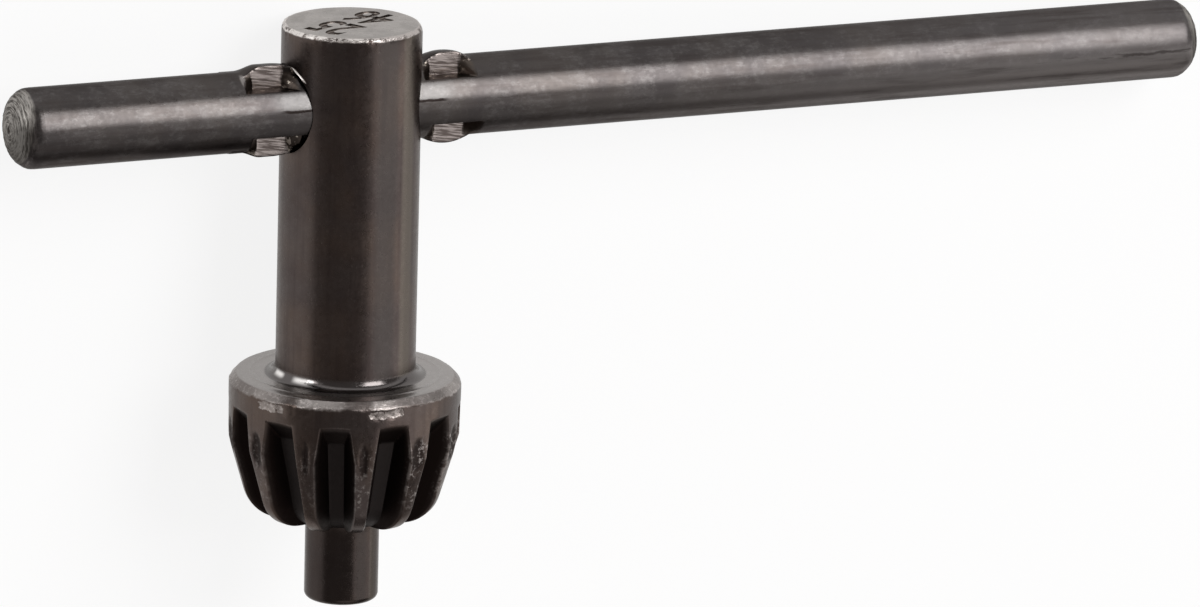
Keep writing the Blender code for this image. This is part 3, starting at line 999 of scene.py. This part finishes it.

# %% [markdown]
# ## The handled bar
#
# Hands have rubbed the bar for years, so its oxide is thinner and cloudier, with fine pits and long faint
# streaks. Its lower half and the underside of its long arm are painted paler, as painted light, and a
# tapering painted highlight lies beside the shank. The pressed flats show paler steel with the lines of
# the die across them, and the ends show the pale swirl of the parting tool.

# %% The bar's masks
worn = bpy.data.materials.new("worn_steel")
worn.use_nodes = True
tree = worn.node_tree
place, marks, (along, depth, height) = read_place()
beside = sum_of("ABSOLUTE", along)
from_axis = length_of(depth, height)
round_bar = sum_of("ARCTAN2", height, both(depth, -1.0))
flat = attribute("flat")
slope = attribute("slope")
end = attribute("end")

streaks = clouds(place, 1.0, 5.0, 0.6, (0.13, 1.5, 1.5))
tilted = put("ShaderNodeMapping")
feed(tilted.inputs["Vector"], place)
feed(tilted.inputs["Rotation"], (0.0, radians(-9.0), 0.0))
lines = clouds(tilted.outputs[0], 1.0, 2.0, 0.5, (0.5, 1.0, 5.6))

# the turned end: marks that run round the bar's axis, as short as the cutter's chatter
turn = put("ShaderNodeCombineXYZ")
feed(turn.inputs[0], both(from_axis, 7.5))
for number, part in ((1, depth), (2, height)):
    feed(turn.inputs[number], sum_of("DIVIDE", both(part, 1.5), plus(from_axis, 0.15)))
swirls = clouds(turn.outputs[0], 1.2, 5.0, 0.7)
tufts = clouds(place, 1.1, 3.0, 0.6)
on_dome = both(end, ramp(minus(from_axis, both(height, 0.09)), 3.22, 3.05))
bevel_marks = both(end, ramp(from_axis, 2.8, 3.1), ramp(swirls, 0.52, 0.62), 0.45)

# a tapering painted highlight beside the shank, a fine dark line along its lower edge, and another dark line
# far out on the long arm
wave = minus(clouds(place, 0.5, 3.0, 0.6), 0.5)
from_crease = sum_of("ABSOLUTE", minus(round_bar, plus(0.16, both(wave, 0.12))))
crease = both(ramp(from_crease, 0.05, 0.02), ramp(beside, 7.9, 7.0))
wedge_highlight = both(ramp(round_bar, 0.16, 0.2), ramp(round_bar, 0.64, 0.6), ramp(beside, 8.8, 6.9))
from_far_line = sum_of("ABSOLUTE", plus(round_bar, plus(0.08, both(wave, 0.25))))
far_dark_line = both(ramp(from_far_line, 0.06, 0.015), ramp(along, 60.0, 66.0), ramp(streaks, 0.42, 0.52), 0.6)

# the lower half and the underside of the long arm are painted paler, as painted light, most of all towards its
# end
toward_long_end = ramp(along, 5.0, 75.0, 0.0, 0.75)
underside = both(ramp(round_bar, -0.15, -0.45), ramp(round_bar, -1.05, -0.7))
speckled = ramp(clouds(place, 2.6, 5.0, 0.8, (0.6, 1.0, 1.0)), 0.48, 0.6)
speckled = both(speckled, ramp(marks["Clouds"], 0.1, 0.7), 0.45)

# a painted highlight beside the shank, painted glints on the slopes, and painted shade along the front edge of
# an ear
spot_along = sum_of("DIVIDE", plus(along, 10.45), 0.36)
spot_up = sum_of("DIVIDE", minus(height, 3.05), 0.5)
spot_highlight = both(ramp(length_of(spot_along, spot_up), 1.0, 0.4), ramp(depth, -0.5, -1.0))
glints = both(slope, ramp(clouds(place, 1.4, 3.0, 0.7), 0.57, 0.62), ramp(beside, 9.9, 9.4))
ear_edge_shade = both(ramp(from_axis, 3.5, 3.7), ramp(depth, -0.6, -0.9), minus(1.0, flat, clamp=True), 0.8)
print("masks of the bar:", len(tree.nodes), "nodes")

# %% [markdown]
# Again the colours are laid one over another: first the oxide, then the flats and the turned ends.

# %% The bar's colours
slope_colour = blend(ramp(beside, 9.3, 8.6), (0.085, 0.070, 0.060), (0.045, 0.036, 0.031))
dark = coated(
    blend(marks["Tint"], (0.059, 0.053, 0.0525), (0.073, 0.0645, 0.061)),
    (ramp(marks["Clouds"], 0.3, 1.0, 0.0, 0.35), (0.105, 0.097, 0.0945)),
    (ramp(along, 30.0, 75.0, 0.0, 0.5), (0.115, 0.106, 0.106)),
    (speckled, (0.125, 0.117, 0.115)),
    # painted light: the lower half and the underside of the long arm are painted paler
    (both(ramp(round_bar, 0.05, -0.2), toward_long_end), (0.16, 0.148, 0.144)),
    (both(underside, toward_long_end, 0.6), (0.34, 0.315, 0.305)),
    (ramp(streaks, 0.48, 0.7, 0.0, 0.45), (0.045, 0.037, 0.035)),
    (both(marks["Pits"], 0.12), (0.14, 0.13, 0.125)),
    (both(wedge_highlight, 0.5), (0.13, 0.127, 0.125)),
    (most(crease, far_dark_line), (0.018, 0.014, 0.013)),
    (slope, slope_colour),
    (spot_highlight, (0.26, 0.24, 0.23)),
    (ear_edge_shade, (0.022, 0.019, 0.018)),
    (glints, (0.34, 0.30, 0.26)),
)
pale = blend(ramp(lines, 0.42, 0.58), (0.095, 0.078, 0.072), (0.28, 0.246, 0.233))
shaded = ramp(plus(height, both(depth, 0.8)), 1.0, -2.6, 0.0, 0.7)
turned_end = coated(
    blend(ramp(swirls, 0.4, 0.6), (0.045, 0.04, 0.036), (0.38, 0.36, 0.335)),
    (ramp(tufts, 0.45, 0.7, 0.0, 0.4), (0.40, 0.38, 0.36)),
    (shaded, (0.06, 0.055, 0.05)),
    (ramp(from_axis, 0.42, 0.2), (0.05, 0.044, 0.04)),
)
colour = coated(dark, (flat, pale), (on_dome, turned_end), (bevel_marks, (0.24, 0.22, 0.21)))
print("with its colours:", len(tree.nodes), "nodes")

# %% [markdown]
# The long arm, more towards its end, and the turned ends are a little duller. The relief carries the lines of
# the die, the swirl of the ends and the torn metal of the slopes.

# %% The bar's roughness and relief
rough = ramp(marks["Grain"], 0.3, 0.7, 0.27, 0.36)
rough = plus(rough, plus(both(marks["Pits"], 0.05), both(toward_long_end, 0.07)))
rough = plus(rough, both(on_dome, 0.08), clamp=True)
relief = minus(both(marks["Grain"], 0.14), both(marks["Pits"], 0.1))
relief = plus(plus(relief, both(lines, flat, 1.8)), both(swirls, end, 1.6))
relief = plus(relief, both(clouds(place, 1.2, 3.0, 0.6), slope, 3.0))
finished(worn, cross_bar, colour, rough, relief, 0.3, (0.5, 0.49, 0.485, 1))

# %% [markdown]
# ## The floor and the light
#
# The floor is a plain pale sheet. A long soft lamp in front of and above the upright key draws the band
# of light along the bar, a weaker one on its right lifts that side of the shank, a faint low one reaches
# the cone of the pinion, and a narrow one on the left draws the thin line along the shank's left side.
# The pale floor behind the key lights the edges of every round form.

# %% The floor
paper = bpy.data.materials.new("paper")
paper.use_nodes = True
tree = paper.node_tree
surface = tree.nodes["Principled BSDF"]
feed(surface.inputs["Base Color"], (0.93, 0.93, 0.93, 1))
feed(surface.inputs["Roughness"], 0.9)
ray = put("ShaderNodeLightPath").outputs
seen = most(ray["Is Glossy Ray"], ray["Is Transmission Ray"], ray["Is Camera Ray"])
white = put("ShaderNodeEmission")
feed(white.inputs["Strength"], 1.0)
mixed = put("ShaderNodeMixShader")
feed(mixed.inputs[0], both(seen, 0.86))
feed(mixed.inputs[1], surface.outputs[0])
feed(mixed.inputs[2], white.outputs[0])
feed(tree.nodes["Material Output"].inputs["Surface"], mixed.outputs[0])
sheet = bmesh.new()
bmesh.ops.create_grid(sheet, x_segments=1, y_segments=1, size=2.5)
ground_sheet = held("floor", sheet)
ground_sheet.data.materials.append(paper)
print("the floor reaches", max(corner.co.x for corner in ground_sheet.data.vertices), "m each way")

# %% The lamps and the world
def lamp(name, toward, along, length, width, radiance, distance=1.2):
    """A soft lamp in a direction from the upright key, with its length along a direction of the key."""
    data = bpy.data.lights.new(name, "AREA")
    data.shape = "RECTANGLE"
    data.size = length
    data.size_y = width
    data.energy = radiance * pi * length * width
    thing = bpy.data.objects.new(name, data)
    bpy.context.collection.objects.link(thing)
    turn = KEY_TURN.to_matrix()
    way = (turn @ Vector(toward)).normalized()
    across = way.cross(turn @ Vector(along)).normalized()
    thing.location = way * distance
    thing.rotation_euler = Matrix((across.cross(way), across, way)).transposed().to_euler()
    print(name, "stands at", tuple(round(value, 2) for value in thing.location))


lamp("front_lamp", (0.389, -0.802, 0.453), (1, 0, 0), 0.6, 0.88, 7.1)
lamp("right_lamp", (0.720, -0.643, -0.26), (0, 0, 1), 0.5, 1.5, 1.35)
lamp("low_lamp", (0.05, -0.68, -0.72), (1, 0, 0), 1.3, 0.65, 0.5)
lamp("left_lamp", (-0.90, -0.19, 0.40), (0, 0, 1), 0.5, 0.2, 5.0)

world = bpy.data.worlds.new("studio")
world.use_nodes = True
tree = world.node_tree
sky = put("ShaderNodeSeparateXYZ")
feed(sky.inputs[0], put("ShaderNodeTexCoord").outputs["Generated"])
walls = both(ramp(sky.outputs[2], 0.34, 0.04), ramp(sky.outputs[1], -0.8, -0.35))
feed(tree.nodes["Background"].inputs["Color"], blend(walls, (0.232, 0.215, 0.208), (1, 1, 1)))
bpy.context.scene.world = world
